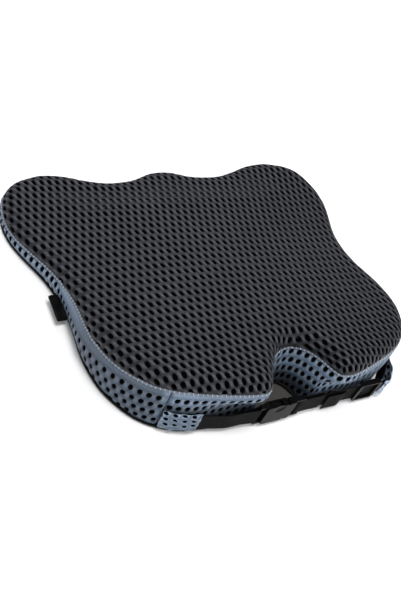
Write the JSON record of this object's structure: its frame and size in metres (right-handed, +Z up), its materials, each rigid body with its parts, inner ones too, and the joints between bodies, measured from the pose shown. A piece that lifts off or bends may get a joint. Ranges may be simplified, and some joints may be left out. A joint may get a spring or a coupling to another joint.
{
  "type": "seat cushion",
  "caption": "Wedge seat cushion with thigh recesses, waisted sides, a rear coccyx cut-out, a mesh cover with a zip underneath and a buckled chair strap.",
  "frame": {"origin": "on the floor, under the middle of the object's bounding box", "axes": "+Z up, +Y towards the thin front edge, +X to the sitter's right; the strap runs along X across the rear"},
  "size_m": [0.4456, 0.384, 0.09],
  "materials": {
    "top_mesh": "black spacer mesh",
    "band_mesh": "blue-grey spacer mesh",
    "piping_mesh": "folded light edge",
    "binding": "black tape",
    "underside": "plain weave",
    "grip": "matt dots",
    "liner": "thin knit",
    "foam": "open-cell foam",
    "zip_tape": "woven tape",
    "zip_coil": "satin",
    "zip_metal": "black lacquer",
    "webbing": "ribbed webbing",
    "buckle": "moulded"
  },
  "bodies": {
    "cushion": {"foam_core": "foam", "inner_liner": "liner", "top_panel": "top_mesh", "top_seam_piping": "piping_mesh", "side_band_left": "band_mesh", "side_band_right": "band_mesh", "front_band": "band_mesh", "rear_band": "band_mesh", "bottom_binding": "binding", "bottom_panel_front": "underside", "bottom_panel_rear": "underside", "grip_dots": "grip", "zipper_tape_front": "zip_tape", "zipper_tape_rear": "zip_tape", "zipper_coils": "zip_coil", "zipper_end_stops": "zip_metal", "tab_left": "band_mesh", "tab_right": "band_mesh", "webbing_left": "webbing", "webbing_right": "webbing", "buckle_socket": "buckle"},
    "plug": {"buckle_plug": "buckle", "plug_webbing_loop": "webbing"},
    "prong_up": {"prong_upper": "buckle"},
    "prong_low": {"prong_lower": "buckle"},
    "adjuster": {"slide_adjuster": "buckle"},
    "zip_slider": {"zipper_slider": "zip_metal"},
    "zip_puller": {"zipper_puller": "zip_metal"},
    "waist_loop": {"waist_loop": "webbing"}
  },
  "joints": [
    {"name": "buckle_release", "type": "slide", "parent": "cushion", "child": "plug", "axis": [1, 0, 0], "range_m": [0, 0.026]},
    {"name": "prong_upper_squeeze", "type": "hinge", "parent": "plug", "child": "prong_up", "pos_m": [-0.0045, -0.1828, 0.026], "axis": [0, -1, 0], "range_deg": [0, 9.2]},
    {"name": "prong_lower_squeeze", "type": "hinge", "parent": "plug", "child": "prong_low", "pos_m": [-0.0045, -0.1828, 0.015], "axis": [0, 1, 0], "range_deg": [0, 9.2]},
    {"name": "adjuster_slide", "type": "slide", "parent": "cushion", "child": "adjuster", "axis": [-1, 0, 0], "range_m": [0, 0.016]},
    {"name": "zipper_travel", "type": "slide", "parent": "cushion", "child": "zip_slider", "axis": [-1, 0, 0], "range_m": [0, 0.228]},
    {"name": "puller_swing", "type": "hinge", "parent": "zip_slider", "child": "zip_puller", "pos_m": [0.1096, -0.0693, 0.0014], "axis": [0, 1, 0], "range_deg": [0, 110]},
    {"name": "waist_loop_swing", "type": "hinge", "parent": "cushion", "child": "waist_loop", "pos_m": [-0.194, -0.0043, 0.0115], "axis": [0, 1, 0], "range_deg": [-12, 60]}
  ],
  "couplings": [
    {"joint": "prong_upper_squeeze", "follows": "buckle_release", "rad_per_m": 6.0415},
    {"joint": "prong_lower_squeeze", "follows": "buckle_release", "rad_per_m": 6.0415}
  ]
}
